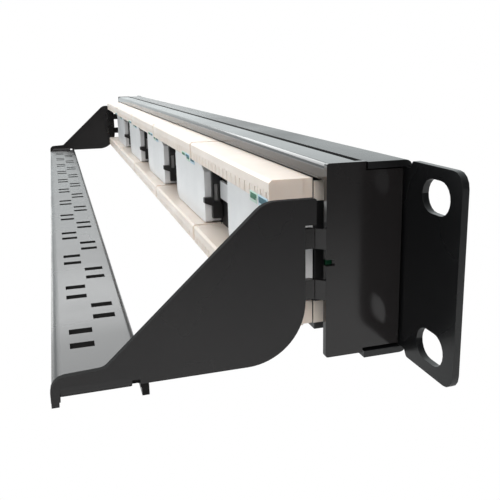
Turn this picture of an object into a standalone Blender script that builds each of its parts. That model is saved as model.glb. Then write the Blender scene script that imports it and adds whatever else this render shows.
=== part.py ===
"""Rack patch panel, one unit high, with a clip-on rear cable bar.

Frame: X runs along the panel, the front face looks along -Y, +Z is up, and the
origin is the middle of the front face. Metres throughout.

Root body: a folded front panel with rack ears, a folded rear frame riveted inside
it, and five identical modules of five sockets each. A module is a socket block, a
circuit board, a black carrier, a light grey label body and two rows of
insulation-displacement terminals. Black clips join each module to the next.
Second body: the cable bar, one folded sheet whose arms clip on to four tabs of the
rear frame and pull off straight back along +Y.
"""
import bmesh
import bpy
from math import acos, cos, pi, sin, tan
from mathutils import Matrix, Vector

# ---- Driving dimensions -------------------------------------------------------
PANEL_WIDTH = 0.4826
PANEL_HEIGHT = 0.0440
SHEET = 0.0015
GAP = 0.0003

CHANNEL_HALF = 0.2208
FLANGE_DEPTH = 0.0105
BEND_RADIUS = 0.0016
EAR_CORNER = 0.0032
EAR_START = 0.2224
RACK_HOLE_X = 0.23255
RACK_HOLE_Z = 0.015875
RACK_HOLE_LENGTH = 0.0100
RACK_HOLE_HEIGHT = 0.0070

MODULES = 5
PORTS_PER_MODULE = 5
PORT_PITCH = 0.0170
MODULE_PITCH = PORTS_PER_MODULE * PORT_PITCH
MODULE_HALF = MODULE_PITCH / 2 - GAP

WINDOW_HALF = 0.0405
WINDOW_BOTTOM = -0.0165
WINDOW_TOP = -0.0015

FRAME_REAR = 0.0197
RAIL_REAR = 0.0196
FRAME_HALF = 0.2205
END_PLATE_TOP = 0.0221
END_PLATE_BOTTOM = -0.0208
END_PLATE_TUCK = -0.0197
RAIL_SHEET = 0.0012
RAIL_TOP = 0.0219
RAIL_LIP = 0.0183

TAB_HEIGHT = 0.0044
TAB_LEVELS = (0.0038, -0.0075)
TAB_JOGGLE = 0.0020
TAB_TIP = 0.0310
TAB_INSET = SHEET + GAP

BOARD_FRONT = 0.0147
BOARD_SHEET = 0.0016
BOARD_HALF = 0.0420
BOARD_SPAN = (-0.0155, 0.0175)
CARRIER_FRONT = BOARD_FRONT + BOARD_SHEET + GAP
CARRIER_REAR = 0.0190
TERMINAL_FRONT = CARRIER_REAR + GAP
TERMINAL_REAR = 0.0296
UPPER_ROW = (0.0125, 0.0180)
LOWER_ROW = (-0.0160, -0.0104)
TERMINALS_PER_ROW = 20

BAR_FRONT = 0.0580
BAR_REAR = 0.0772
BAR_TOP = -0.0200
BAR_FRONT_LIP = 0.0037
BAR_REAR_LIP = 0.0029
ARM_INNER = FRAME_HALF - SHEET
SLOT_PAIR_PITCH = 0.0350
SLOT_SPACING = 0.0087
SLOT_SIZE = (0.0032, 0.0055)
OUTER_ROW_Y = 0.0702
INNER_ROW_Y = 0.0640

ARC_STEPS = 4
ARC_FINEST = 0.0012

# Local axes of a flat outline: its first axis, its second axis, its thickness.
FACE_XZ = Matrix(((1, 0, 0), (0, 0, -1), (0, 1, 0))).to_4x4()
FACE_YZ = Matrix(((0, 0, 1), (1, 0, 0), (0, 1, 0))).to_4x4()
FACE_XY = Matrix.Identity(4)


# ---- Scene, collections, materials --------------------------------------------
def clear_scene():
    for obj in list(bpy.data.objects):
        bpy.data.objects.remove(obj, do_unlink=True)


def new_collection(name):
    collection = bpy.data.collections.new(name)
    bpy.context.scene.collection.children.link(collection)
    return collection


def material(name, colour, roughness, metallic=0.0):
    made = bpy.data.materials.new(name)
    made.use_nodes = True
    shader = made.node_tree.nodes["Principled BSDF"]
    shader.inputs["Base Color"].default_value = (*colour, 1.0)
    shader.inputs["Roughness"].default_value = roughness
    shader.inputs["Metallic"].default_value = metallic
    return made


clear_scene()
PARTS = new_collection("patch_panel")
CUTTERS = new_collection("cutters")

PAINT = material("black_paint", (0.018, 0.018, 0.020), 0.28)
BLACK_PLASTIC = material("black_plastic", (0.012, 0.012, 0.013), 0.45)
IVORY_PLASTIC = material("ivory_plastic", (0.78, 0.68, 0.58), 0.42)
LABEL_PLASTIC = material("label_plastic", (0.72, 0.74, 0.76), 0.38)
BOARD_GREEN = material("board_green", (0.02, 0.16, 0.07), 0.40)
STEEL = material("steel", (0.55, 0.55, 0.56), 0.30, 1.0)
STRIP_WHITE = material("strip_white", (0.80, 0.80, 0.80), 0.35)


# ---- Building tools -------------------------------------------------------------
def add_object(name, mesh, finish, collection):
    obj = bpy.data.objects.new(name, mesh)
    if finish is None:
        obj.hide_render = True
        obj.display_type = "WIRE"
    else:
        mesh.materials.clear()
        mesh.materials.append(finish)
    collection.objects.link(obj)
    return obj


def box(name, low, high, finish=None):
    """A block between two corners; without a finish it is a cutter."""
    low, high = Vector(low), Vector(high)
    shape = bmesh.new()
    bmesh.ops.create_cube(shape, size=1.0)
    bmesh.ops.scale(shape, vec=high - low, verts=shape.verts)
    mesh = bpy.data.meshes.new(name)
    shape.to_mesh(mesh)
    shape.free()
    obj = add_object(name, mesh, finish, PARTS if finish else CUTTERS)
    obj.location = (low + high) / 2
    return obj


def rod(name, centre, radius, depth, finish=None, sides=20):
    """A cylinder along Y about the given centre."""
    shape = bmesh.new()
    bmesh.ops.create_cone(shape, cap_ends=True, segments=sides,
                          radius1=radius, radius2=radius, depth=depth)
    mesh = bpy.data.meshes.new(name)
    shape.to_mesh(mesh)
    shape.free()
    obj = add_object(name, mesh, finish, PARTS if finish else CUTTERS)
    obj.location = centre
    obj.rotation_euler = (pi / 2, 0, 0)
    return obj


def rounded(corners):
    """Outline points from (u, v, radius) corners; a radius of 0 stays sharp."""
    points = []
    count = len(corners)
    for index, (u, v, radius) in enumerate(corners):
        here = Vector((u, v))
        if radius == 0:
            points.append(here)
            continue
        before = Vector(corners[index - 1][:2]) - here
        after = Vector(corners[(index + 1) % count][:2]) - here
        before.normalize()
        after.normalize()
        half = acos(max(-1.0, min(1.0, before.dot(after)))) / 2
        middle = here + (before + after).normalized() * radius / sin(half)
        start = here + before * radius / tan(half) - middle
        stop = here + after * radius / tan(half) - middle
        sweep = start.angle_signed(stop)
        steps = max(ARC_STEPS, round(abs(sweep) * radius / ARC_FINEST))
        for step in range(steps + 1):
            points.append(middle + Matrix.Rotation(-sweep * step / steps, 2) @ start)
    return points


def slot_outline(centre, length, height):
    """A round-ended slot, its length along the first axis."""
    u, v = centre
    half_u, half_v = length / 2, height / 2
    return rounded([(u - half_u, v - half_v, half_v * 0.999),
                    (u + half_u, v - half_v, half_v * 0.999),
                    (u + half_u, v + half_v, half_v * 0.999),
                    (u - half_u, v + half_v, half_v * 0.999)])


def plate(name, outline, low, high, axes, finish=None, holes=()):
    """A flat outline, with holes, between two levels of its thickness axis."""
    curve = bpy.data.curves.new(name, "CURVE")
    curve.dimensions = "2D"
    curve.fill_mode = "BOTH"
    curve.extrude = (high - low) / 2
    for points in (outline, *holes):
        spline = curve.splines.new("POLY")
        spline.points.add(len(points) - 1)
        for place, (u, v) in zip(spline.points, points):
            place.co = (u, v, 0, 1)
        spline.use_cyclic_u = True
    drawn = bpy.data.objects.new(name + "_outline", curve)
    CUTTERS.objects.link(drawn)
    bpy.context.view_layer.update()
    mesh = bpy.data.meshes.new_from_object(
        drawn.evaluated_get(bpy.context.evaluated_depsgraph_get()))
    bpy.data.objects.remove(drawn, do_unlink=True)
    shape = bmesh.new()
    shape.from_mesh(mesh)
    bmesh.ops.remove_doubles(shape, verts=shape.verts, dist=1e-6)
    bmesh.ops.transform(shape, verts=shape.verts,
                        matrix=Matrix.Translation((0, 0, (low + high) / 2)))
    bmesh.ops.transform(shape, verts=shape.verts, matrix=axes)
    bmesh.ops.recalc_face_normals(shape, faces=shape.faces)
    shape.to_mesh(mesh)
    shape.free()
    mesh.name = name
    return add_object(name, mesh, finish, PARTS if finish else CUTTERS)


def combine(target, others, operation):
    for other in others:
        step = target.modifiers.new(operation.title(), "BOOLEAN")
        step.operation = operation
        step.solver = "EXACT"
        step.object = other


def join(target, *others):
    combine(target, others, "UNION")


def cut(target, *others):
    combine(target, others, "DIFFERENCE")


def settle(obj):
    """Turn an object's modifiers into its mesh, so that copies can share it."""
    bpy.context.view_layer.update()
    graph = bpy.context.evaluated_depsgraph_get()
    mesh = bpy.data.meshes.new_from_object(obj.evaluated_get(graph))
    mesh.name = obj.name
    obj.modifiers.clear()
    obj.data = mesh


def turned(name, profile, place, finish):
    """A solid of revolution about Y; the profile is (radius, y) from tip to tip."""
    mesh = bpy.data.meshes.new(name)
    shape = bmesh.new()
    row = [shape.verts.new((radius, 0, -y)) for radius, y in profile]
    for start, stop in zip(row, row[1:]):
        shape.edges.new((start, stop))
    shape.to_mesh(mesh)
    shape.free()
    obj = add_object(name, mesh, finish, PARTS)
    spin = obj.modifiers.new("Turn", "SCREW")
    spin.steps = 12
    spin.render_steps = 12
    spin.use_merge_vertices = True
    spin.merge_threshold = 1e-5
    spin.use_normal_calculate = False
    obj.location = place
    obj.rotation_euler = (pi / 2, 0, 0)
    return obj


# ---- Front panel -------------------------------------------------------------
def front_panel():
    half = PANEL_HEIGHT / 2
    inner = half - SHEET
    section = rounded([(0, -half, BEND_RADIUS), (FLANGE_DEPTH, -half, 0),
                       (FLANGE_DEPTH, -inner, 0), (SHEET, -inner, 0),
                       (SHEET, inner, 0), (FLANGE_DEPTH, inner, 0),
                       (FLANGE_DEPTH, half, 0), (0, half, BEND_RADIUS)])
    panel = plate("front_panel", section, -CHANNEL_HALF, CHANNEL_HALF, FACE_YZ, PAINT)
    neck = half - BEND_RADIUS
    overlap = CHANNEL_HALF - 0.0008
    for side, word in ((-1, "left"), (1, "right")):
        outer = PANEL_WIDTH / 2
        outline = rounded([(side * overlap, -neck, 0), (side * EAR_START, -neck, 0),
                           (side * (EAR_START + 0.0010), -half, 0.0008),
                           (side * outer, -half, EAR_CORNER),
                           (side * outer, half, EAR_CORNER),
                           (side * (EAR_START + 0.0010), half, 0.0008),
                           (side * EAR_START, neck, 0), (side * overlap, neck, 0)])
        slots = [slot_outline((side * RACK_HOLE_X, level * RACK_HOLE_Z),
                              RACK_HOLE_LENGTH, RACK_HOLE_HEIGHT) for level in (-1, 1)]
        join(panel, plate("ear_" + word, outline, -SHEET, 0, FACE_XZ, None, slots))
    for number, centre in enumerate(module_centres(), 1):
        cut(panel, box("window_%d" % number,
                       (centre - WINDOW_HALF, -SHEET, WINDOW_BOTTOM),
                       (centre + WINDOW_HALF, 2 * SHEET, WINDOW_TOP)))
    for number, (x, z) in enumerate(rivet_places(), 1):
        cut(panel, rod("panel_rivet_hole_%d" % number, (x, SHEET / 2, z),
                       RIVET_RADIUS + GAP, 3 * SHEET))


def module_centres():
    return [(index - (MODULES - 1) / 2) * MODULE_PITCH for index in range(MODULES)]


# ---- Rivets between the panel and the frame -------------------------------------
RIVET_X = 0.2164
RIVET_Z = 0.0110
RIVET_RADIUS = 0.00135
RIVET_HEAD = 0.0026
RIVET_HEAD_RISE = 0.0009


def rivet_places():
    return [(side * RIVET_X, level * RIVET_Z) for side in (-1, 1) for level in (-1, 1)]


def rivets():
    seat = -GAP
    back = 2 * SHEET + 2 * GAP
    profile = [(0, seat - RIVET_HEAD_RISE), (RIVET_HEAD * 0.62, seat - RIVET_HEAD_RISE * 0.85),
               (RIVET_HEAD * 0.94, seat - RIVET_HEAD_RISE * 0.4), (RIVET_HEAD, seat),
               (RIVET_RADIUS, seat), (RIVET_RADIUS, back),
               (RIVET_HEAD * 0.85, back), (RIVET_HEAD * 0.7, back + RIVET_HEAD_RISE),
               (0, back + RIVET_HEAD_RISE)]
    for number, (x, z) in enumerate(rivet_places(), 1):
        turned("rivet_%d" % number, profile, (x, 0, z), STEEL)


# ---- Rear frame ------------------------------------------------------------------
FRAME_FRONT = SHEET + GAP
JOGGLE_START = FLANGE_DEPTH + GAP
JOGGLE_RUN = 0.0013
FRAME_TUCK = PANEL_HEIGHT / 2 - SHEET - GAP
END_LAP_INNER = 0.2130
END_LAP_HALF = 0.0160
RAIL_FRONT = 0.0030


def rail_section():
    """Top rail: a lap under the panel's flange, a joggle, a shelf and a lip."""
    lap = FRAME_TUCK - 0.0001
    knee = JOGGLE_START + JOGGLE_RUN
    return rounded([(RAIL_FRONT, lap, 0), (JOGGLE_START, lap, 0), (knee, RAIL_TOP, 0),
                    (RAIL_REAR, RAIL_TOP, 0.0012), (RAIL_REAR, RAIL_LIP, 0),
                    (RAIL_REAR - RAIL_SHEET, RAIL_LIP, 0),
                    (RAIL_REAR - RAIL_SHEET, RAIL_TOP - RAIL_SHEET, 0),
                    (knee + 0.0005, RAIL_TOP - RAIL_SHEET, 0),
                    (JOGGLE_START + 0.0005, lap - RAIL_SHEET, 0),
                    (RAIL_FRONT, lap - RAIL_SHEET, 0)])


END_NOTCH = (0.0177, 0.0001, 0.0015)


def end_plate_outline():
    """Side view of an end plate: it steps in at top and bottom, inside the flanges."""
    front = FRAME_FRONT + 0.0002
    notch, low, high = END_NOTCH
    return rounded([(front, END_PLATE_TUCK, 0), (JOGGLE_START, END_PLATE_TUCK, 0),
                    (JOGGLE_START, END_PLATE_BOTTOM, 0), (FRAME_REAR, END_PLATE_BOTTOM, 0.0006),
                    (FRAME_REAR, low, 0), (notch, low, 0), (notch, high, 0),
                    (FRAME_REAR, high, 0), (FRAME_REAR, END_PLATE_TOP, 0.0006),
                    (JOGGLE_START, END_PLATE_TOP, 0), (JOGGLE_START, FRAME_TUCK, 0),
                    (front, FRAME_TUCK, 0)])


def tab_outline(side):
    """Top view of a clip tab: rooted in the end plate, joggled inwards behind the arm."""
    face = FRAME_HALF - 0.00005
    back = FRAME_HALF - SHEET + 0.00005
    outer = FRAME_HALF - TAB_INSET
    root, bend = FRAME_REAR - 0.0008, FRAME_REAR + TAB_JOGGLE
    return [(side * x, y) for x, y in (
        (back, root), (face, root), (face, FRAME_REAR),
        (outer, bend), (outer, TAB_TIP - 0.0010), (outer - 0.0005, TAB_TIP),
        (outer - SHEET, TAB_TIP), (outer - SHEET, bend + 0.0005), (back, FRAME_REAR + 0.0004))]


def rear_frame():
    reach = FRAME_HALF - SHEET / 2
    frame = plate("rear_frame", rail_section(), -reach, reach, FACE_YZ, PAINT)
    pieces = []
    for side, word in ((-1, "left"), (1, "right")):
        faces = sorted((side * (FRAME_HALF - SHEET), side * FRAME_HALF))
        pieces.append(plate("end_plate_" + word, end_plate_outline(), *faces, FACE_YZ))
        for number, level in enumerate(TAB_LEVELS, 1):
            pieces.append(plate("tab_%s_%d" % (word, number), tab_outline(side),
                                level, level + TAB_HEIGHT, FACE_XY))
        lap = sorted((side * END_LAP_INNER, side * (FRAME_HALF - SHEET / 2)))
        pieces.append(box("lap_" + word, (lap[0], FRAME_FRONT, -END_LAP_HALF),
                          (lap[1], FRAME_FRONT + SHEET, END_LAP_HALF)))
    join(frame, *pieces)
    for number, (x, z) in enumerate(rivet_places(), 1):
        cut(frame, rod("frame_rivet_hole_%d" % number, (x, FRAME_FRONT + SHEET / 2, z),
                       RIVET_RADIUS + GAP, 3 * SHEET))


# ---- Modules ---------------------------------------------------------------------
SOCKET_BODY = (0.0420, -0.0182, 0.0010)
SOCKET_NOSE = (0.0402, -0.0162, -0.0018)
NOSE_FRONT = -0.0006
SOCKET_TOP = -0.0028
SOCKET_STEPS = ((0.0118, 0.0084, 0.0130), (0.0062, 0.0016, 0.0112), (0.0034, 0.0015, 0.0108))
SCREW_PLACE = (0.0255, -0.0070)
SCREW_RADIUS = 0.0010
SCREW_HEAD = (0.0024, 0.0016)
DRILL_LENGTH = 0.0080
STRIP_HALF = 0.0400
STRIP_FRONT = -0.0009
STRIP_SPAN = (0.0025, 0.0105)


def cut_socket(block, number, port):
    """Modular socket mouth: the plug bay, then two narrower steps for its latch."""
    level = SOCKET_TOP
    for step, (width, height, depth) in enumerate(SOCKET_STEPS):
        top = level if step == 0 else level + 0.0010
        cut(block, box("socket_%d_%d" % (number, step),
                       (port - width / 2, NOSE_FRONT - 0.0020, level - height),
                       (port + width / 2, NOSE_FRONT + depth, top)))
        level -= height


def module_parts(centre):
    """The meshes of one module, placed about the given module centre."""
    made = {}
    half, low, high = SOCKET_BODY
    block = box("socket_block", (centre - half, SHEET + GAP, low),
                (centre + half, BOARD_FRONT - GAP, high), BLACK_PLASTIC)
    half, low, high = SOCKET_NOSE
    join(block, box("socket_nose", (centre - half, NOSE_FRONT, low),
                    (centre + half, 2 * SHEET, high)))
    for index in range(PORTS_PER_MODULE):
        port = centre + (index - (PORTS_PER_MODULE - 1) / 2) * PORT_PITCH
        cut_socket(block, index + 1, port)
    screw_x, screw_z = centre + SCREW_PLACE[0], SCREW_PLACE[1]
    cut(block, rod("screw_pilot", (screw_x, BOARD_FRONT - 0.0030, screw_z),
                   SCREW_RADIUS + GAP, DRILL_LENGTH, sides=12))
    made["socket_block"] = block

    board = box("circuit_board", (centre - BOARD_HALF, BOARD_FRONT, BOARD_SPAN[0]),
                (centre + BOARD_HALF, BOARD_FRONT + BOARD_SHEET, BOARD_SPAN[1]), BOARD_GREEN)
    cut(board, rod("board_hole", (screw_x, BOARD_FRONT, screw_z),
                   SCREW_RADIUS + GAP, DRILL_LENGTH, sides=12))
    made["circuit_board"] = board

    made["board_screw"] = board_screw((screw_x, CARRIER_FRONT, screw_z))
    carrier = box("carrier", (centre - MODULE_HALF, CARRIER_FRONT, CARRIER_SPAN[0]),
                  (centre + MODULE_HALF, CARRIER_REAR, CARRIER_SPAN[1]), BLACK_PLASTIC)
    cut(carrier, rod("carrier_hole", (screw_x, CARRIER_FRONT, screw_z),
                     SCREW_HEAD[0] + GAP, DRILL_LENGTH))
    made["carrier"] = carrier
    made["label_body"] = label_body(centre)
    made["upper_terminals"] = terminal_row("upper_terminals", centre, UPPER_ROW)
    made["lower_terminals"] = terminal_row("lower_terminals", centre, LOWER_ROW)
    made["port_strip"] = box("port_strip", (centre - STRIP_HALF, STRIP_FRONT, STRIP_SPAN[0]),
                             (centre + STRIP_HALF, -GAP, STRIP_SPAN[1]), STRIP_WHITE)
    return made


def board_screw(place):
    radius, rise = SCREW_HEAD
    profile = [(0, -0.0070), (SCREW_RADIUS * 0.6, -0.0066), (SCREW_RADIUS, -0.0058),
               (SCREW_RADIUS, 0), (radius, 0), (radius, rise * 0.55),
               (radius * 0.75, rise), (0, rise)]
    return turned("board_screw", profile, place, STEEL)


CARRIER_SPAN = (-0.0174, 0.0174)

LABEL_SPAN = (-0.0101, 0.0122)
LABEL_CAP = (0.0226, 0.0250)
LABEL_LENGTH = 0.0535
LABEL_CORNER = (0.0090, 0.0044)
TONGUE_SPAN = (-0.0012, 0.0049)
TONGUE_REAR = 0.0202
CLIP_ROOM = 0.0024


def label_body(centre):
    """Light grey body between the terminal rows: core, cap and a tongue to the next clip."""
    start = centre - MODULE_HALF
    stop = start + LABEL_LENGTH
    low, high = LABEL_SPAN
    along, down = LABEL_CORNER
    cap_outline = rounded([(start, low, 0.0010), (stop, low, 0.0055), (stop, high, 0.0008),
                           (start + along, high, 0), (start, high - down, 0)])
    front, rear = LABEL_CAP
    cap = plate("label_body", cap_outline, -rear, -front, FACE_XZ, LABEL_PLASTIC)
    join(cap, box("label_core", (start + GAP, TERMINAL_FRONT, low + 0.0004),
                  (stop - 0.0016, front + 0.0005, high - down - 0.0004)))
    join(cap, box("label_tongue", (stop - 0.0020, TERMINAL_FRONT + 0.0001, TONGUE_SPAN[0]),
                  (centre + MODULE_HALF - CLIP_ROOM, TONGUE_REAR, TONGUE_SPAN[1])))
    return cap


TERMINAL_SLOT = 0.0007
TERMINAL_SLOT_DEPTH = 0.0060
TERMINAL_SLOT_HEIGHT = 0.0026
TERMINAL_CHAMFER = 0.0007
TERMINAL_END_STEP = (0.0222, 0.0005)


def terminal_row(name, centre, levels):
    """A row of terminals: a long block with wire slots open to the rear and below."""
    low, high = levels
    nick = TERMINAL_CHAMFER
    step, inset = TERMINAL_END_STEP
    section = [(step - 0.0005, low), (TERMINAL_REAR, low), (TERMINAL_REAR, high - nick),
               (TERMINAL_REAR - nick, high), (step - 0.0005, high)]
    block = plate(name, section, centre - MODULE_HALF, centre + MODULE_HALF, FACE_YZ,
                  IVORY_PLASTIC)
    join(block, box(name + "_root",
                    (centre - MODULE_HALF + inset, TERMINAL_FRONT, low + 0.0001),
                    (centre + MODULE_HALF - inset, step, high - 0.0001)))
    pitch = MODULE_PITCH / TERMINALS_PER_ROW
    front = TERMINAL_REAR - TERMINAL_SLOT_DEPTH
    comb = bmesh.new()
    for index in range(TERMINALS_PER_ROW):
        x = centre + (index - (TERMINALS_PER_ROW - 1) / 2) * pitch
        lows = Vector((x - TERMINAL_SLOT / 2, front, low - 0.002))
        highs = Vector((x + TERMINAL_SLOT / 2, TERMINAL_REAR + 0.002,
                        low + TERMINAL_SLOT_HEIGHT))
        made = bmesh.ops.create_cube(comb, size=1.0)["verts"]
        bmesh.ops.scale(comb, vec=highs - lows, verts=made)
        bmesh.ops.translate(comb, vec=(lows + highs) / 2, verts=made)
    mesh = bpy.data.meshes.new(name + "_slots")
    comb.to_mesh(mesh)
    comb.free()
    cut(block, add_object(name + "_slots", mesh, None, CUTTERS))
    return block


CLIP_SPAN = (-0.0084, 0.0120)
CLIP_REAR = 0.0228
CLIP_HOOK_REAR = 0.0257
CLIP_HOOKS = ((-0.0040, -0.0010), (0.0085, 0.0112))
CLIP_WINDOW = ((0.0206, -0.0024), (0.0221, 0.0036))
CLIP_WAIST = (0.0199, -0.0030, 0.0052)


def joining_clips():
    """Black clips across the joints between modules, each with two hooks and a window."""
    low, high = CLIP_SPAN
    waist, waist_low, waist_high = CLIP_WAIST
    outline = [(TERMINAL_FRONT, low), (CLIP_REAR, low)]
    for hook_low, hook_high in CLIP_HOOKS:
        outline += [(CLIP_REAR, hook_low), (CLIP_HOOK_REAR, hook_low + 0.0012),
                    (CLIP_HOOK_REAR, hook_high), (CLIP_REAR, hook_high)]
    outline += [(CLIP_REAR, high), (TERMINAL_FRONT, high), (TERMINAL_FRONT, waist_high),
                (waist, waist_high), (waist, waist_low), (TERMINAL_FRONT, waist_low)]
    (front, bottom), (rear, top) = CLIP_WINDOW
    window = [(front, bottom), (rear, bottom), (rear, top), (front, top)]
    first, *others = [centre + MODULE_PITCH / 2 for centre in module_centres()[:-1]]
    clip = plate("joining_clip_1", outline, first - CLIP_ROOM + GAP, first, FACE_YZ,
                 BLACK_PLASTIC, [window])
    settle(clip)
    for number, joint in enumerate(others, 2):
        copy = bpy.data.objects.new("joining_clip_%d" % number, clip.data)
        PARTS.objects.link(copy)
        copy.location = (joint - first, 0, 0)


def modules():
    """Build the first module, then copy its meshes along the panel."""
    centres = module_centres()
    first = module_parts(centres[0])
    for kind, piece in first.items():
        settle(piece)
        piece.name = kind + "_1"
        for number, centre in enumerate(centres[1:], 2):
            copy = bpy.data.objects.new("%s_%d" % (kind, number), piece.data)
            PARTS.objects.link(copy)
            copy.location = piece.location + Vector((centre - centres[0], 0, 0))
            copy.rotation_euler = piece.rotation_euler


# ---- Cable bar ---------------------------------------------------------------------
ARM_CLEAR = 0.0219
ARM_FRONT = 0.0244
ARM_TOP = 0.0150
ARM_STEP = 0.0094
ARM_LOWER = -0.0202
ARM_CORNER = 0.0130
ARM_BEND = 0.0015
BEND_START = 0.0612
BEND_END = 0.0750
BEND_RELIEF = (0.0598, -0.0192)
LOOP_SPAN = (0.0256, 0.0292)
LOOP_SHEET = 0.0012


def bar_section():
    """Shallow channel, open below, with a rounded rear edge."""
    front_low, rear_low = BAR_TOP - BAR_FRONT_LIP, BAR_TOP - BAR_REAR_LIP
    under = BAR_TOP - SHEET
    return rounded([(BAR_FRONT, front_low, 0), (BAR_FRONT, BAR_TOP, 0.0014),
                    (BAR_REAR, BAR_TOP, 0.0022), (BAR_REAR, rear_low, 0),
                    (BAR_REAR - SHEET, rear_low, 0), (BAR_REAR - SHEET, under, 0.0007),
                    (BAR_FRONT + SHEET, under, 0.0007), (BAR_FRONT + SHEET, front_low, 0)])


def arm_outline():
    """Side view of an arm: stepped front edge, sloping top, foot on the bar."""
    foot = BAR_TOP - SHEET
    return rounded([(ARM_CLEAR, ARM_TOP, 0.0005), (ARM_CLEAR, ARM_STEP, 0),
                    (ARM_FRONT, ARM_STEP, 0), (ARM_FRONT, ARM_LOWER, ARM_CORNER),
                    (BEND_START, ARM_LOWER, 0), (BEND_START, foot, 0),
                    (BAR_REAR, foot, 0), (BAR_REAR, -0.0165, 0.0030),
                    (0.0668, -0.0160, 0.0025), (0.0331, ARM_TOP, 0.0060)])


def bend_fillet():
    """Rear view of the metal inside the bend that turns the bar's sheet up into an arm."""
    inner, sunk = -ARM_INNER, -ARM_INNER - SHEET / 2
    floor, low = BAR_TOP, BAR_TOP - SHEET / 2
    return rounded([(inner + ARM_BEND, floor, 0), (inner, floor, ARM_BEND * 0.999),
                    (inner, floor + ARM_BEND, 0), (sunk, floor + ARM_BEND, 0),
                    (sunk, low, 0), (inner + ARM_BEND, low, 0)])


def bend_waste():
    """Rear view of the corner that the outside of the bend takes off the square edge."""
    radius = ARM_BEND + SHEET
    outer, beyond = -FRAME_HALF, -FRAME_HALF - SHEET
    foot, below = BAR_TOP - SHEET, BAR_TOP - 2 * SHEET
    return rounded([(outer + radius, foot, 0), (outer, foot, radius * 0.999),
                    (outer, foot + radius, 0), (beyond, foot + radius, 0),
                    (beyond, below, 0), (outer + radius, below, 0)])


def loop_outline(level):
    """Rear view of a clip loop: a strap over a tab, both feet in the arm."""
    root = -ARM_INNER - SHEET / 2
    inner = -FRAME_HALF + TAB_INSET + SHEET + GAP
    low, high = level - GAP, level + TAB_HEIGHT + GAP
    return [(root, low - LOOP_SHEET), (inner + LOOP_SHEET, low - LOOP_SHEET),
            (inner + LOOP_SHEET, high + LOOP_SHEET), (root, high + LOOP_SHEET),
            (root, high), (inner, high), (inner, low), (root, low)]


def slot_places():
    """Slot centres: two staggered rows of pairs for cable ties."""
    places = []
    for y, count in ((OUTER_ROW_Y, 12), (INNER_ROW_Y, 11)):
        for index in range(count):
            middle = (index - (count - 1) / 2) * SLOT_PAIR_PITCH
            places += [(middle - SLOT_SPACING / 2, y), (middle + SLOT_SPACING / 2, y)]
    return places


def end_box(name, start, front, rear, top):
    """Cutter from a distance off the middle of the bar out beyond its left end."""
    return box(name, (-FRAME_HALF - SHEET, front, BAR_TOP - 4 * SHEET), (-start, rear, top))


def cable_bar():
    """The left half, mirrored about the middle: bar, slots, arm, bend and loops."""
    bar = plate("cable_bar", bar_section(), SHEET / 2 - FRAME_HALF, SHEET, FACE_YZ, PAINT)
    slots = bmesh.new()
    for x, y in slot_places():
        made = bmesh.ops.create_cube(slots, size=1.0)["verts"]
        bmesh.ops.scale(slots, vec=(*SLOT_SIZE, 4 * SHEET), verts=made)
        bmesh.ops.translate(slots, vec=(x, y, BAR_TOP), verts=made)
    mesh = bpy.data.meshes.new("tie_slots")
    slots.to_mesh(mesh)
    slots.free()
    cut(bar, add_object("tie_slots", mesh, None, CUTTERS),
        end_box("bar_end", ARM_INNER - GAP, BAR_FRONT - SHEET, BEND_START, BAR_TOP + SHEET))
    join(bar, plate("arm", arm_outline(), -FRAME_HALF, -ARM_INNER, FACE_YZ))
    cut(bar, end_box("bend_relief", ARM_INNER - ARM_BEND - GAP, BEND_RELIEF[0],
                     BEND_START + GAP, BEND_RELIEF[1]),
        plate("bend_waste", bend_waste(), SHEET + GAP - BAR_REAR, GAP - BEND_START, FACE_XZ))
    join(bar, plate("bend_fillet", bend_fillet(), -BEND_END, -BEND_START - 2 * GAP, FACE_XZ))
    for number, level in enumerate(TAB_LEVELS, 1):
        join(bar, plate("loop_%d" % number, loop_outline(level), -LOOP_SPAN[1],
                        -LOOP_SPAN[0], FACE_XZ))
    both = bar.modifiers.new("Both ends", "MIRROR")
    both.use_bisect_axis = (True, False, False)
    both.use_bisect_flip_axis = (True, False, False)
    both.merge_threshold = 1e-6
    slide = bpy.data.objects.new("cable_bar_slide", None)
    slide.location = (0, TAB_TIP, TAB_LEVELS[0])
    PARTS.objects.link(slide)
    bpy.context.view_layer.update()
    bar.parent = slide
    bar.matrix_parent_inverse = slide.matrix_world.inverted()


front_panel()
rivets()
rear_frame()
modules()
joining_clips()
cable_bar()
bpy.context.view_layer.update()
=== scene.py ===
"""Looks for the rack patch panel: painted steel, terminals, labels, contacts and a studio."""

from math import cos, pi, radians, sin

import bmesh
import bpy
from mathutils import Matrix, Vector


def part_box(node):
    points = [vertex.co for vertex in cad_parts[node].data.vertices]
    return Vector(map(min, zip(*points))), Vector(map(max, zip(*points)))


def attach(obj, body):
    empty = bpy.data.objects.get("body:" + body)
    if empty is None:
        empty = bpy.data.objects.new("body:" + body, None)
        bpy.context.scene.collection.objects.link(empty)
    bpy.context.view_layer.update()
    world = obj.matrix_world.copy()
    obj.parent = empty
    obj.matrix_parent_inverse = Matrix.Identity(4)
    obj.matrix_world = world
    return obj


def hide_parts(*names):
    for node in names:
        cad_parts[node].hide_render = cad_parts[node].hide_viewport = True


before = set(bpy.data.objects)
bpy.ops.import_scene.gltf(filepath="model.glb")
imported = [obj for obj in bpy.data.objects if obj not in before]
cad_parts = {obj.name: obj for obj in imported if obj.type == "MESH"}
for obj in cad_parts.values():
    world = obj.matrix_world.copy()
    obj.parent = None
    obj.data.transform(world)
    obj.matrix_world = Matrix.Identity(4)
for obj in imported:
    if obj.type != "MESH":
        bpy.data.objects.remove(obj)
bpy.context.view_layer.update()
MODULES = range(1, 6)
PORTS = 5

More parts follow.
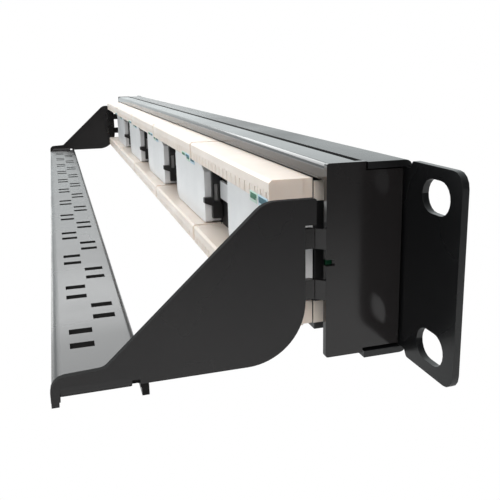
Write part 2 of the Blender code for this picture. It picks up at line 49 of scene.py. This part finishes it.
# ---- Camera, as fitted to the 19-inch standard ----------------------------------
CAMERA_PLACE = Vector((-0.3424, 0.0721, 0.0406))
CAMERA_RIGHT = Vector((-0.30437, -0.95244, -0.01483))
CAMERA_DOWN = Vector((-0.20885, 0.08192, -0.97451))
CAMERA_LENS = 46.74
CAMERA_SHIFT = (-0.0260, -0.0582)


def camera():
    data = bpy.data.cameras.new("camera")
    data.sensor_width = 36.0
    data.lens = CAMERA_LENS
    data.shift_x, data.shift_y = CAMERA_SHIFT
    data.clip_start = 0.005
    made = bpy.data.objects.new("camera", data)
    bpy.context.scene.collection.objects.link(made)
    right = CAMERA_RIGHT.normalized()
    back = right.cross(-CAMERA_DOWN).normalized()
    up = back.cross(right)
    turn = Matrix((right, up, back)).transposed().to_4x4()
    made.matrix_world = Matrix.Translation(CAMERA_PLACE) @ turn
    bpy.context.scene.camera = made


camera()


# ---- Materials ---------------------------------------------------------------------
def new_material(name, colour, roughness, metallic=0.0, specular=0.5):
    made = bpy.data.materials.new(name)
    made.use_nodes = True
    shader = made.node_tree.nodes["Principled BSDF"]
    shader.inputs["Base Color"].default_value = (*colour, 1.0)
    shader.inputs["Roughness"].default_value = roughness
    shader.inputs["Metallic"].default_value = metallic
    shader.inputs["Specular IOR Level"].default_value = specular
    return made, made.node_tree, shader


def noise(tree, scale, detail=2.0, stretch=(1, 1, 1)):
    place = tree.nodes.new("ShaderNodeTexCoord")
    spread = tree.nodes.new("ShaderNodeMapping")
    spread.inputs["Scale"].default_value = stretch
    made = tree.nodes.new("ShaderNodeTexNoise")
    made.inputs["Scale"].default_value = scale
    made.inputs["Detail"].default_value = detail
    tree.links.new(place.outputs["Object"], spread.inputs["Vector"])
    tree.links.new(spread.outputs["Vector"], made.inputs["Vector"])
    return made.outputs["Fac"]


def ramp(tree, source, low, high, low_at=0.35, high_at=0.65):
    made = tree.nodes.new("ShaderNodeValToRGB")
    made.color_ramp.elements[0].position = low_at
    made.color_ramp.elements[1].position = high_at
    made.color_ramp.elements[0].color = (*low, 1.0)
    made.color_ramp.elements[1].color = (*high, 1.0)
    tree.links.new(source, made.inputs["Fac"])
    return made.outputs["Color"]


def bump(tree, shader, height, strength, distance):
    made = tree.nodes.new("ShaderNodeBump")
    made.inputs["Strength"].default_value = strength
    made.inputs["Distance"].default_value = distance
    tree.links.new(height, made.inputs["Height"])
    tree.links.new(made.outputs["Normal"], shader.inputs["Normal"])


def larger(tree, source, limit):
    """1 where a number lies further from zero than the limit, else 0."""
    size = tree.nodes.new("ShaderNodeMath")
    size.operation = "ABSOLUTE"
    tree.links.new(source, size.inputs[0])
    made = tree.nodes.new("ShaderNodeMath")
    made.operation = "GREATER_THAN"
    made.inputs[1].default_value = limit
    tree.links.new(size.outputs[0], made.inputs[0])
    return made.outputs[0]


def sheared_edges(tree):
    """1 on the cut edges of the bar's sheet, round its arms and inside its tie slots, where
    painted shade goes.
    """
    place = tree.nodes.new("ShaderNodeTexCoord")
    where = tree.nodes.new("ShaderNodeSeparateXYZ")
    tree.links.new(place.outputs["Object"], where.inputs["Vector"])
    facing = tree.nodes.new("ShaderNodeNewGeometry")
    turned = tree.nodes.new("ShaderNodeSeparateXYZ")
    tree.links.new(facing.outputs["Normal"], turned.inputs["Vector"])
    unlike = tree.nodes.new("ShaderNodeMath")
    unlike.operation = "COMPARE"
    tree.links.new(larger(tree, where.outputs["X"], ARM_INSIDE), unlike.inputs[0])
    tree.links.new(larger(tree, turned.outputs["X"], SIDEWAYS), unlike.inputs[1])
    unlike.inputs[2].default_value = 0.5
    edges = tree.nodes.new("ShaderNodeMath")
    edges.operation = "SUBTRACT"
    edges.inputs[0].default_value = 1.0
    tree.links.new(unlike.outputs[0], edges.inputs[1])
    return edges.outputs[0]


def choose(tree, factor, first, second):
    """The first colour where the factor is 0, and the plain second one where it is 1."""
    mix = tree.nodes.new("ShaderNodeMix")
    mix.data_type = "RGBA"
    tree.links.new(factor, mix.inputs["Factor"])
    tree.links.new(first, mix.inputs[6])
    mix.inputs[7].default_value = (*second, 1)
    return mix.outputs[2]


def painted_steel(name, low, high, gloss=(0.24, 0.33), shade_edges=False):
    """Powder coat: a fine orange peel, slow changes of gloss and, if asked, painted shade on the
    cut edges, which are also made matt.
    """
    made, tree, shader = new_material(name, low, gloss[0], specular=0.36)
    colour = ramp(tree, noise(tree, 35.0, 5.0), low, high)
    rough = ramp(tree, noise(tree, 24.0, 4.0), (gloss[0],) * 3, (gloss[1],) * 3)
    if shade_edges:
        # Painted shade: the cut edges are darkened and made matt, so that they show no highlight.
        edges = sheared_edges(tree)
        colour = choose(tree, edges, colour, (EDGE_SHADE_TONE,) * 3)
        rough = choose(tree, edges, rough, (EDGE_SHADE_ROUGHNESS,) * 3)
    tree.links.new(colour, shader.inputs["Base Color"])
    tree.links.new(rough, shader.inputs["Roughness"])
    bump(tree, shader, noise(tree, 1500.0, 3.0), 0.12, 0.00005)
    return made


def plastic(name, low, high, roughness, grain=1100.0, depth=0.00003, soft=0.0):
    """Moulded plastic: a slight mottle in its colour and gloss, and a fine grain."""
    made, tree, shader = new_material(name, low, roughness)
    tree.links.new(ramp(tree, noise(tree, 70.0, 4.0), low, high), shader.inputs["Base Color"])
    tree.links.new(ramp(tree, noise(tree, 45.0, 3.0), (roughness - 0.04,) * 3,
                        (roughness + 0.05,) * 3), shader.inputs["Roughness"])
    bump(tree, shader, noise(tree, grain, 2.0), 0.2, depth)
    if soft:
        shader.inputs["Subsurface Weight"].default_value = soft
        shader.inputs["Subsurface Radius"].default_value = (1.0, 0.6, 0.4)
        shader.inputs["Subsurface Scale"].default_value = 0.0015
    return made


def metal(name, low, high, roughness, stretch):
    """Plated or drawn metal, with streaks along the direction it was worked in."""
    made, tree, shader = new_material(name, low, roughness, 1.0)
    streaks = noise(tree, 900.0, 4.0, stretch)
    tree.links.new(ramp(tree, streaks, low, high), shader.inputs["Base Color"])
    tree.links.new(ramp(tree, streaks, (roughness - 0.06,) * 3, (roughness + 0.10,) * 3),
                   shader.inputs["Roughness"])
    return made


ARM_INSIDE = 0.2188
SIDEWAYS = 0.8
# Painted shade on the bar's cut edges: a near-black tone and a matt finish.
EDGE_SHADE_TONE = 0.002
EDGE_SHADE_ROUGHNESS = 0.9

# One black coat in three tones, each matched to how its part looks under the light: painted shade
# in the panel's darker tone, painted light and reflection in the frame's lighter, warmer one.
PANEL_PAINT = painted_steel("panel_paint", (0.0040, 0.0042, 0.0046), (0.0056, 0.0057, 0.0062))
FRAME_PAINT = painted_steel("frame_paint", (0.0086, 0.0078, 0.0080), (0.0112, 0.0102, 0.0104),
                            gloss=(0.10, 0.17))
BAR_PAINT = painted_steel("bar_paint", (0.0048, 0.0041, 0.0046), (0.0064, 0.0055, 0.0060),
                          shade_edges=True)
BLACK = plastic("black_plastic", (0.009, 0.009, 0.010), (0.015, 0.015, 0.016), 0.40)
IVORY = plastic("ivory_plastic", (0.70, 0.615, 0.545), (0.75, 0.665, 0.595), 0.40, soft=0.15)
LABEL = plastic("label_plastic", (0.70, 0.715, 0.73), (0.76, 0.77, 0.785), 0.34)
BOARD = plastic("circuit_board", (0.012, 0.10, 0.045), (0.020, 0.14, 0.065), 0.35)
STRIP = plastic("strip_white", (0.78, 0.78, 0.78), (0.83, 0.83, 0.83), 0.30)
INK = plastic("print_ink", (0.016, 0.016, 0.018), (0.028, 0.028, 0.030), 0.45)
MARK_GREEN = plastic("mark_green", (0.008, 0.130, 0.060), (0.012, 0.160, 0.080), 0.6)
MARK_BLUE = plastic("mark_blue", (0.006, 0.100, 0.140), (0.010, 0.130, 0.180), 0.6)
# Pale painted reflections of the green and blue marks.
GREEN_REFLECTION = plastic("green_reflection", (0.46, 0.66, 0.56), (0.55, 0.73, 0.63), 0.4)
BLUE_REFLECTION = plastic("blue_reflection", (0.40, 0.60, 0.72), (0.48, 0.67, 0.78), 0.4)
ZINC = metal("zinc_plate", (0.52, 0.52, 0.51), (0.66, 0.66, 0.64), 0.30, (1, 1, 1))
TIN = metal("tinned_contact", (0.60, 0.59, 0.56), (0.74, 0.73, 0.70), 0.28, (1, 1, 0.2))
GOLD = metal("gold_contact", (0.72, 0.50, 0.20), (0.86, 0.64, 0.30), 0.22, (1, 0.15, 1))


# ---- Making pieces -----------------------------------------------------------------
def add_piece(name, mesh, material, slot, *replaced):
    """A visible piece that rides on the panel, and stands for CAD nodes if any are named."""
    made = bpy.data.objects.new(name, mesh)
    bpy.context.scene.collection.objects.link(made)
    mesh.materials.clear()
    mesh.materials.append(material)
    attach(made, "panel")
    if replaced:
        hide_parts(*replaced)
    return made


def mesh_from(name, shape, smooth_angle=None):
    bmesh.ops.recalc_face_normals(shape, faces=shape.faces)
    mesh = bpy.data.meshes.new(name)
    shape.to_mesh(mesh)
    shape.free()
    if smooth_angle is not None:
        mesh.shade_smooth()
        mesh.set_sharp_from_angle(angle=radians(smooth_angle))
    return mesh


WELD_DISTANCE = 1e-6
FLAT_ANGLE = radians(0.5)
EDGE_ANGLE = radians(30)
SHARP_ANGLE = radians(60)


def add_weld(obj):
    weld = obj.modifiers.new("Weld", "WELD")
    weld.merge_threshold = WELD_DISTANCE


def add_flat_merge(obj):
    flat = obj.modifiers.new("Merge flat faces", "DECIMATE")
    flat.decimate_type = "DISSOLVE"
    flat.angle_limit = FLAT_ANGLE


def add_bevel(obj, name, width, segments):
    bevel = obj.modifiers.new(name, "BEVEL")
    bevel.width = width
    bevel.segments = segments
    bevel.limit_method = "ANGLE"
    bevel.angle_limit = EDGE_ANGLE


def round_edges(obj, width, segments=2):
    """Small bevels on every real edge, so that edges catch the light."""
    add_weld(obj)
    add_flat_merge(obj)
    add_bevel(obj, "Edges", width, segments)
    obj.data.shade_smooth()
    obj.data.set_sharp_from_angle(angle=SHARP_ANGLE)
    level = obj.modifiers.new("Level faces", "WEIGHTED_NORMAL")
    level.mode = "FACE_AREA"
    level.weight = 100
    level.keep_sharp = False


def prism(shape, outline, low, high, across):
    """Adds a flat outline, drawn in the plane across the given axis, from low to high."""
    def place(u, v, w):
        if across == "x":
            return (w, u, v)
        return (u, w, v) if across == "y" else (u, v, w)
    rings = [[shape.verts.new(place(u, v, w)) for u, v in outline] for w in (low, high)]
    for ring in rings:
        shape.faces.new(ring)
    count = len(outline)
    for index in range(count):
        after = (index + 1) % count
        shape.faces.new((rings[0][index], rings[0][after], rings[1][after], rings[1][index]))


def block(shape, low, high):
    low, high = Vector(low), Vector(high)
    made = bmesh.ops.create_cube(shape, size=1.0)["verts"]
    bmesh.ops.scale(shape, vec=high - low, verts=made)
    bmesh.ops.translate(shape, vec=(low + high) / 2, verts=made)


def tube(shape, path, radius, sides=8):
    """Adds a round wire along a path whose points lie in one plane across X."""
    rings = []
    for index, here in enumerate(path):
        before = path[max(index - 1, 0)]
        after = path[min(index + 1, len(path) - 1)]
        along = (after - before).normalized()
        outward = Vector((1, 0, 0)).cross(along)
        ring = []
        for step in range(sides):
            turn = 2 * pi * step / sides
            offset = Vector((1, 0, 0)) * cos(turn) + outward * sin(turn)
            ring.append(shape.verts.new(here + offset * radius))
        rings.append(ring)
    for ring, after in zip(rings, rings[1:]):
        for step in range(sides):
            following = (step + 1) % sides
            shape.faces.new((ring[step], ring[following], after[following], after[step]))
    shape.faces.new(rings[0])
    shape.faces.new(rings[-1])


def smooth_path(corners, steps):
    """Points along a curve that passes through the corners, evenly spread between them."""
    points = []
    count = len(corners)
    for index in range(count - 1):
        before = corners[max(index - 1, 0)]
        start, stop = corners[index], corners[index + 1]
        after = corners[min(index + 2, count - 1)]
        for step in range(steps):
            t = step / steps
            points.append(0.5 * (2 * start + (stop - before) * t
                                 + (2 * before - 5 * start + 4 * stop - after) * t * t
                                 + (3 * start - before - 3 * stop + after) * t ** 3))
    points.append(corners[-1])
    return points


def lathe(shape, profile, centre, steps=32):
    """Adds a solid turned about Y; the profile is (radius, y) from tip to tip."""
    centre = Vector(centre)
    rings = []
    for radius, y in profile:
        if radius == 0:
            rings.append([shape.verts.new(centre + Vector((0, y, 0)))])
            continue
        turns = [2 * pi * step / steps for step in range(steps)]
        rings.append([shape.verts.new(centre + Vector((radius * cos(a), y, radius * sin(a))))
                      for a in turns])
    for ring, after in zip(rings, rings[1:]):
        for step in range(steps):
            following = (step + 1) % steps
            corners = [ring[step % len(ring)], ring[following % len(ring)],
                       after[following % len(after)], after[step % len(after)]]
            shape.faces.new(list(dict.fromkeys(corners)))


def carved(name, node, cutter, bevel, soften=0.0):
    """A CAD node's mesh, copied, with fine cuts made in it and its edges rounded."""
    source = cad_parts[node]
    mesh = source.data.copy()
    mesh.name = name
    draft = bpy.data.objects.new(name + "_draft", mesh)
    knife = bpy.data.objects.new(name + "_knife", cutter)
    for obj in (draft, knife):
        bpy.context.scene.collection.objects.link(obj)
    draft.matrix_world = source.matrix_world
    add_weld(draft)
    if soften:
        add_flat_merge(draft)
        add_bevel(draft, "Moulded edges", soften, 4)
    step = draft.modifiers.new("Cut", "BOOLEAN")
    step.operation = "DIFFERENCE"
    step.solver = "EXACT"
    step.use_self = True
    step.object = knife
    round_edges(draft, bevel)
    bpy.context.view_layer.update()
    graph = bpy.context.evaluated_depsgraph_get()
    made = bpy.data.meshes.new_from_object(draft.evaluated_get(graph))
    made.transform(draft.matrix_world)
    made.name = name
    for obj in (draft, knife):
        bpy.data.objects.remove(obj, do_unlink=True)
    return made


def shifted(mesh, along):
    made = mesh.copy()
    made.transform(Matrix.Translation((along, 0, 0)))
    return made


def centre_of(number):
    low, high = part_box("socket_block_%d" % number)
    return (low[0] + high[0]) / 2


FIRST = centre_of(1)
SHIFTS = {number: centre_of(number) - FIRST for number in MODULES}
MODULE_PITCH = SHIFTS[2]
PORT_PITCH = MODULE_PITCH / PORTS


def port_centres(module):
    return [centre_of(module) + (port - (PORTS - 1) / 2) * PORT_PITCH for port in range(PORTS)]


def on_each_module(name, mesh, material, slot, replaced=None):
    """The same piece on all five modules, made from the mesh for the first one."""
    for number in MODULES:
        nodes = ["%s_%d" % (replaced, number)] if replaced else []
        add_piece("%s_%d" % (name, number), shifted(mesh, SHIFTS[number]), material, slot,
                  *nodes)


# ---- Carried-over CAD nodes --------------------------------------------------------
CARRIED = {"front_panel": (PANEL_PAINT, 0.00035, 3), "rear_frame": (FRAME_PAINT, 0.00035, 3),
           "cable_bar": (BAR_PAINT, 0.00035, 3), "socket_block": (BLACK, 0.00025, 2),
           "carrier": (BLACK, 0.00025, 2), "joining_clip": (BLACK, 0.00018, 2),
           "circuit_board": (BOARD, 0.00010, 1), "label_body": (LABEL, 0.00030, 3)}

for name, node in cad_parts.items():
    kind = name.rstrip("0123456789").rstrip("_")
    if kind in CARRIED:
        finish, width, segments = CARRIED[kind]
        node.data.materials.clear()
        node.data.materials.append(finish)
        round_edges(node, width, segments)


# ---- Terminal rows -----------------------------------------------------------------
TERMINALS = 20
TERMINAL_PITCH = MODULE_PITCH / TERMINALS
GROOVE = 0.00030
GROOVE_DEPTH = 0.00030
GROOVE_TOPS = {"middle": 0.0019, "joint": 0.0030}
PAST = 0.001
BLADE_DEPTHS = (0.0022, 0.0046)
BLADE_SHEET = 0.00035
BLADE_HALF = 0.0011
BLADE_SPAN = (0.0004, 0.0032)
BLADE_MOUTH = (0.0005, 0.0011)
BLADE_THROAT = (0.00012, 0.0026)
ROW_EDGES = {"bevel": 0.00012, "soften": 0.00030}
FOOT_LAP = 0.00015
FOOT_REAR = 0.0002
FOOT_ENDS = (0.0003, 0.0001)
END_WASTE = (0.0018, 0.0008)


def blade_outline(x, foot):
    """Rear view of a contact: a plate with a funnel and a narrow slot for one wire."""
    low, high = (foot + level for level in BLADE_SPAN)
    mouth, funnel = BLADE_MOUTH
    throat, end = BLADE_THROAT
    right = [(throat, foot + end), (throat, foot + funnel), (mouth, low),
             (BLADE_HALF, low), (BLADE_HALF, high)]
    left = [(-u, v) for u, v in reversed(right)]
    return [(x + u, v) for u, v in left + right]


def end_waste(cuts, low, high):
    """Takes the rear and top edges off the far end of a row, where the next one starts."""
    along, deep = END_WASTE
    end, beyond = high[0] + GROOVE, 2 * GROOVE
    for across, level, start, stop in (("z", high[1], low[2] - beyond, high[2] + beyond),
                                       ("y", high[2], low[1] - beyond, high[1] + beyond)):
        prism(cuts, [(end - along, level + beyond), (end - along, level), (end, level - deep),
                     (end, level + beyond)], start, stop, across)


def terminals():
    """Both rows of terminals: the grooves between and below them, and their contacts."""
    columns = [FIRST + (index - (TERMINALS - 1) / 2) * TERMINAL_PITCH
               for index in range(TERMINALS)]
    for row in ("upper", "lower"):
        low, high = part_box("%s_terminals_1" % row)
        foot, rear = low[2], high[1]
        cuts = bmesh.new()
        for x in columns:
            for offset, top in ((-TERMINAL_PITCH / 4, "middle"), (TERMINAL_PITCH / 4, "middle"),
                                (TERMINAL_PITCH / 2, "joint")):
                block(cuts, (x + offset - GROOVE / 2, rear - GROOVE_DEPTH, foot - PAST),
                      (x + offset + GROOVE / 2, rear + PAST, foot + GROOVE_TOPS[top]))
        end_waste(cuts, low, high)
        mesh = carved(row + "_row", row + "_terminals_1", mesh_from(row + "_cuts", cuts),
                      **ROW_EDGES)
        on_each_module(row + "_row", mesh, IVORY, "ivory_plastic", row + "_terminals")

        blades = bmesh.new()
        for x in columns:
            for depth in BLADE_DEPTHS:
                prism(blades, blade_outline(x, foot), rear - depth - BLADE_SHEET, rear - depth,
                      "y")
        on_each_module(row + "_contacts", mesh_from(row + "_contacts", blades), TIN, "steel")


def terminal_feet():
    """Ivory feet of both rows, lapped over the ends of each module's carrier."""
    low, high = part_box("carrier_1")
    shape = bmesh.new()
    for row in ("upper", "lower"):
        under, over = (corner[2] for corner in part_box("%s_terminals_1" % row))
        for x in (low[0], high[0]):
            block(shape, (x - FOOT_LAP, low[1] + FOOT_REAR, max(under, low[2]) + FOOT_ENDS[0]),
                  (x + FOOT_LAP, high[1] + FOOT_REAR, min(over, high[2]) - FOOT_ENDS[1]))
    on_each_module("terminal_feet", mesh_from("terminal_feet", shape), IVORY, "ivory_plastic")


terminals()
terminal_feet()


# ---- Labels ------------------------------------------------------------------------
MARK_RISE = 0.00012
MARK_SUNK = 0.0002
# Each mark: its middle, the width of its pale painted reflection, the width of its dark print, and
# their two colours.
MARKS = ((0.0187, 0.0070, 0.0056, BLUE_REFLECTION, MARK_BLUE),
         (0.0267, 0.0060, 0.0044, GREEN_REFLECTION, MARK_GREEN))
MARK_LEVEL = 0.0098
MARK_HEIGHT = 0.0034
MARK_BORDER = 0.0008
TOOTH_MARKS = ((0.0043, 0.0070, 0.0058, BLUE_REFLECTION, MARK_BLUE),
               (0.0112, 0.0062, 0.0048, GREEN_REFLECTION, MARK_GREEN))
TOOTH_MARK_TOP = (0.0012, 0.0008)


def label_marks():
    """Two pairs of colour marks below the upper terminals: dark print on a pale painted reflection
    of its colour.
    """
    low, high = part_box("label_body_1")
    for index, (middle, wide, narrow, reflection, dark) in enumerate(MARKS, 1):
        for name, finish, half, tall, rise in (
                ("reflection", reflection, wide / 2, MARK_HEIGHT / 2, MARK_RISE),
                ("dark", dark, narrow / 2, MARK_HEIGHT / 2 - MARK_BORDER, 2 * MARK_RISE)):
            shape = bmesh.new()
            x = low[0] + middle
            prism(shape, [(x - half, MARK_LEVEL - tall), (x + half, MARK_LEVEL - tall),
                          (x + half, MARK_LEVEL + tall), (x - half, MARK_LEVEL + tall)],
                  high[1] - MARK_SUNK, high[1] + rise, "y")
            on_each_module("label_mark_%s_%d" % (name, index),
                           mesh_from("mark", shape), finish, "label_plastic")


def tooth_marks():
    """The same colours on the feet of the upper terminals at the start of each module: dark print,
    with a pale painted reflection around and above it.
    """
    low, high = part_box("upper_terminals_1")
    for index, (middle, wide, narrow, reflection, dark) in enumerate(TOOTH_MARKS, 1):
        reflection_top, dark_top = TOOTH_MARK_TOP
        for name, finish, half, top, rise in (
                ("reflection", reflection, wide / 2, reflection_top, MARK_RISE / 2),
                ("dark", dark, narrow / 2, dark_top, MARK_RISE)):
            shape = bmesh.new()
            x, foot = low[0] + middle, low[2]
            prism(shape, [(x - half, foot), (x + half, foot), (x + half, foot + top),
                          (x - half, foot + top)], high[1] - MARK_SUNK, high[1] + rise, "y")
            on_each_module("tooth_mark_%s_%d" % (name, index),
                           mesh_from("mark", shape), finish, "ivory_plastic")


label_marks()
tooth_marks()


# ---- Sockets, port strips and numbers ----------------------------------------------
WIRE = 0.00022
WIRE_PITCH = 0.00102
WIRES = 8
WIRE_TOP = 0.0150
WIRE_CORNERS = ((0.0022, 0), (0.0032, -0.0005), (0.0075, -0.0026), (0.0105, -0.0042),
                (0.0128, -0.0044), (0.0136, -0.0044))
STRIP_WINDOW = (0.0068, 0.0002, 0.0010)
STRIP_EDGE = 0.00014
NUMBER_SIZE = 0.0050
NUMBER_RISE = 0.00006


def socket_contacts():
    """Eight sprung gold wires in each socket, sloping down towards the back."""
    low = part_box("socket_block_1")[0]
    shape = bmesh.new()
    for middle in port_centres(1):
        for wire in range(WIRES):
            x = middle + (wire - (WIRES - 1) / 2) * WIRE_PITCH
            corners = [Vector((x, low[1] + depth, low[2] + WIRE_TOP + drop))
                       for depth, drop in WIRE_CORNERS]
            tube(shape, smooth_path(corners, 4), WIRE)
    on_each_module("socket_contacts", mesh_from("socket_contacts", shape, 40), GOLD, "steel")


def written(number):
    """A number as a thin raised mesh, centred on its own origin."""
    curve = bpy.data.curves.new("number", "FONT")
    curve.body = str(number)
    curve.size = NUMBER_SIZE
    curve.align_x = "CENTER"
    curve.align_y = "CENTER"
    curve.extrude = NUMBER_RISE
    draft = bpy.data.objects.new("number", curve)
    bpy.context.scene.collection.objects.link(draft)
    bpy.context.view_layer.update()
    graph = bpy.context.evaluated_depsgraph_get()
    mesh = bpy.data.meshes.new_from_object(draft.evaluated_get(graph))
    bpy.data.objects.remove(draft, do_unlink=True)
    return mesh


def port_strips():
    """Bevelled strips with a shallow window above each port, and the ports' numbers."""
    low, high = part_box("port_strip_1")
    half, depth, border = STRIP_WINDOW
    cuts = bmesh.new()
    for x in port_centres(1):
        block(cuts, (x - half, low[1] - PAST, low[2] + border),
              (x + half, low[1] + depth, high[2] - border))
    mesh = carved("strip", "port_strip_1", mesh_from("strip_cuts", cuts), STRIP_EDGE)
    on_each_module("strip", mesh, STRIP, "strip_white", "port_strip")
    upright = Matrix.Rotation(pi / 2, 4, "X")
    for module in MODULES:
        shape = bmesh.new()
        for port, x in enumerate(port_centres(module), 1):
            mesh = written((module - 1) * PORTS + port)
            place = Matrix.Translation((x, low[1] + depth, (low[2] + high[2]) / 2))
            mesh.transform(place @ upright)
            shape.from_mesh(mesh)
        name = "port_numbers_%d" % module
        add_piece(name, mesh_from(name, shape), INK, "strip_white")


socket_contacts()
port_strips()


# ---- Fasteners ---------------------------------------------------------------------
RIVET_RISE = 0.0009
RIVET_SHANK = 0.52
DOME_STEPS = 8
RIVET_TAIL = ((0.85, 1.0), (0.80, 0.5), (0.62, 0.0), (0.30, 0.5), (0, 0.5))


def rivets():
    """Domed heads on the front, and set tails behind."""
    for number in range(1, 5):
        low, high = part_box("rivet_%d" % number)
        middle = [(a + b) / 2 for a, b in zip(low, high)]
        head = (high[0] - low[0]) / 2
        face, back = low[1] - middle[1], high[1] - middle[1]
        turns = [pi / 2 * step / DOME_STEPS for step in range(1, DOME_STEPS + 1)]
        profile = [(0, face)]
        profile += [(head * sin(turn), face + RIVET_RISE * (1 - cos(turn))) for turn in turns]
        profile += [(head * RIVET_SHANK, face + RIVET_RISE),
                    (head * RIVET_SHANK, back - RIVET_RISE)]
        profile += [(head * out, back - RIVET_RISE * rise) for out, rise in RIVET_TAIL]
        shape = bmesh.new()
        lathe(shape, profile, middle)
        add_piece("rivet_head_%d" % number, mesh_from("rivet_%d" % number, shape, 40), PANEL_PAINT,
                  "steel", "rivet_%d" % number)


RECESS = (0.0013, 0.0003)
RECESS_DEPTH = 0.0009
SCREW_EDGE = 0.00008


def board_screws():
    """Pan-head screws with a crossed recess."""
    low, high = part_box("board_screw_1")
    middle = [(a + b) / 2 for a, b in zip(low, high)]
    arm, half = RECESS
    corner = [(arm, -half), (arm, half), (half, half)]
    cross = []
    for turn in range(4):
        cross += corner
        corner = [(-v, u) for u, v in corner]
    cuts = bmesh.new()
    prism(cuts, [(middle[0] + u, middle[2] + v) for u, v in cross],
          high[1] - RECESS_DEPTH, high[1] + RECESS_DEPTH, "y")
    mesh = carved("screw", "board_screw_1", mesh_from("recess", cuts), SCREW_EDGE)
    on_each_module("screw", mesh, ZINC, "steel", "board_screw")


rivets()
board_screws()


# ---- Studio -----------------------------------------------------------------------
def area_light(name, place, aim, size, power, colour=(1, 1, 1)):
    data = bpy.data.lights.new(name, "AREA")
    data.shape = "RECTANGLE"
    data.size, data.size_y = size
    data.energy = power
    data.color = colour
    made = bpy.data.objects.new(name, data)
    bpy.context.scene.collection.objects.link(made)
    made.location = place
    made.rotation_mode = "QUATERNION"
    made.rotation_quaternion = (Vector(aim) - Vector(place)).to_track_quat("-Z", "Y")


def white_to_camera(tree, other, output):
    """White where the camera looks straight at it, and the other shader for light."""
    white = tree.nodes.new("ShaderNodeEmission")
    white.inputs["Strength"].default_value = 1.0
    path = tree.nodes.new("ShaderNodeLightPath")
    choice = tree.nodes.new("ShaderNodeMixShader")
    tree.links.new(path.outputs["Is Camera Ray"], choice.inputs["Fac"])
    tree.links.new(other, choice.inputs[1])
    tree.links.new(white.outputs["Emission"], choice.inputs[2])
    tree.links.new(choice.outputs["Shader"], output.inputs["Surface"])


PAPER_REACH = 3.0
# Painted shade and light on the floor, seen only by light: tones along X, darker under the object,
# and a glow beyond its far end.
PAPER_STOPS = ((-1.6, 0.30), (-0.95, 0.85), (-0.45, 0.80), (-0.15, 0.35), (0.15, 0.40),
               (0.9, 0.85))
PAPER_GLOW = 0.45
GLOW_RUN = (0.5, 1.2)
FLOOR_HALF = 6.0
FLOOR_LEVEL = -0.30
SKY_COLOUR = (0.94, 1.0, 1.01)
SKY_SWEEP = 0.6
DIM_SIDE = 0.10
BRIGHT_SIDE = 1.05


def world_light():
    """Bright on the far side of the panel, and dim behind the camera."""
    world = bpy.data.worlds.new("studio")
    bpy.context.scene.world = world
    world.use_nodes = True
    tree = world.node_tree
    sky = tree.nodes["Background"]
    direction = tree.nodes.new("ShaderNodeTexCoord")
    axes = tree.nodes.new("ShaderNodeSeparateXYZ")
    tree.links.new(direction.outputs["Generated"], axes.inputs["Vector"])
    sweep = tree.nodes.new("ShaderNodeMapRange")
    sweep.inputs["From Min"].default_value = -SKY_SWEEP
    sweep.inputs["From Max"].default_value = SKY_SWEEP
    sweep.inputs["To Min"].default_value = DIM_SIDE
    sweep.inputs["To Max"].default_value = BRIGHT_SIDE
    tree.links.new(axes.outputs["X"], sweep.inputs["Value"])
    tree.links.new(sweep.outputs["Result"], sky.inputs["Strength"])
    sky.inputs["Color"].default_value = (*SKY_COLOUR, 1)
    white_to_camera(tree, sky.outputs["Background"], tree.nodes["World Output"])


def paper():
    """Pale card in bands along X: darker under the object as painted shade, and bright beyond its
    far end, where it glows as painted light.
    """
    made, tree, shader = new_material("paper", (0.80, 0.80, 0.80), 0.9)
    place = tree.nodes.new("ShaderNodeTexCoord")
    axes = tree.nodes.new("ShaderNodeSeparateXYZ")
    tree.links.new(place.outputs["Object"], axes.inputs["Vector"])
    spread = tree.nodes.new("ShaderNodeMapRange")
    spread.inputs["From Min"].default_value = -PAPER_REACH
    spread.inputs["From Max"].default_value = PAPER_REACH
    tree.links.new(axes.outputs["X"], spread.inputs["Value"])
    tone = tree.nodes.new("ShaderNodeValToRGB")
    stops = tone.color_ramp.elements
    for x, level in PAPER_STOPS:
        stop = stops.new((x + PAPER_REACH) / (2 * PAPER_REACH))
        stop.color = (level, level, level, 1)
    stops.remove(stops[0])
    stops.remove(stops[-1])
    tree.links.new(spread.outputs["Result"], tone.inputs["Fac"])
    tree.links.new(tone.outputs["Color"], shader.inputs["Base Color"])
    glow = tree.nodes.new("ShaderNodeMapRange")
    glow.inputs["From Min"].default_value = GLOW_RUN[0]
    glow.inputs["From Max"].default_value = GLOW_RUN[1]
    glow.inputs["To Max"].default_value = PAPER_GLOW
    tree.links.new(axes.outputs["X"], glow.inputs["Value"])
    shader.inputs["Emission Color"].default_value = (1, 1, 1, 1)
    tree.links.new(glow.outputs["Result"], shader.inputs["Emission Strength"])
    white_to_camera(tree, shader.outputs["BSDF"], tree.nodes["Material Output"])
    return made


def studio():
    bpy.context.scene.view_settings.view_transform = "Standard"
    world_light()
    shape = bmesh.new()
    bmesh.ops.create_grid(shape, x_segments=1, y_segments=1, size=FLOOR_HALF)
    mesh = mesh_from("floor", shape)
    floor = bpy.data.objects.new("floor", mesh)
    bpy.context.scene.collection.objects.link(floor)
    floor.location = (0, 0, FLOOR_LEVEL)
    mesh.materials.append(paper())
    area_light("key", (-0.4, 0.22, 1.6), (0, 0, 0), (1.2, 1.2), 19)
    area_light("back", (1.6, 0.2, 0.9), (0.1, 0, 0), (1.2, 0.8), 9.5)
    area_light("side", (-0.9, 1.0, 0.5), (-0.2, 0.02, 0), (0.7, 0.7), 3)
    area_light("fill", (-1.5, 0.3, 0.75), (-0.2, 0, 0), (0.8, 0.8), 10, (1.0, 0.95, 0.91))
    area_light("front", (0.3, -1.6, 0.25), (0.05, 0, 0), (0.9, 0.6), 9)
    area_light("low", (1.2, 0.50, -0.16), (-0.1, 0.02, 0.02), (0.5, 0.22), 0.35)


studio()
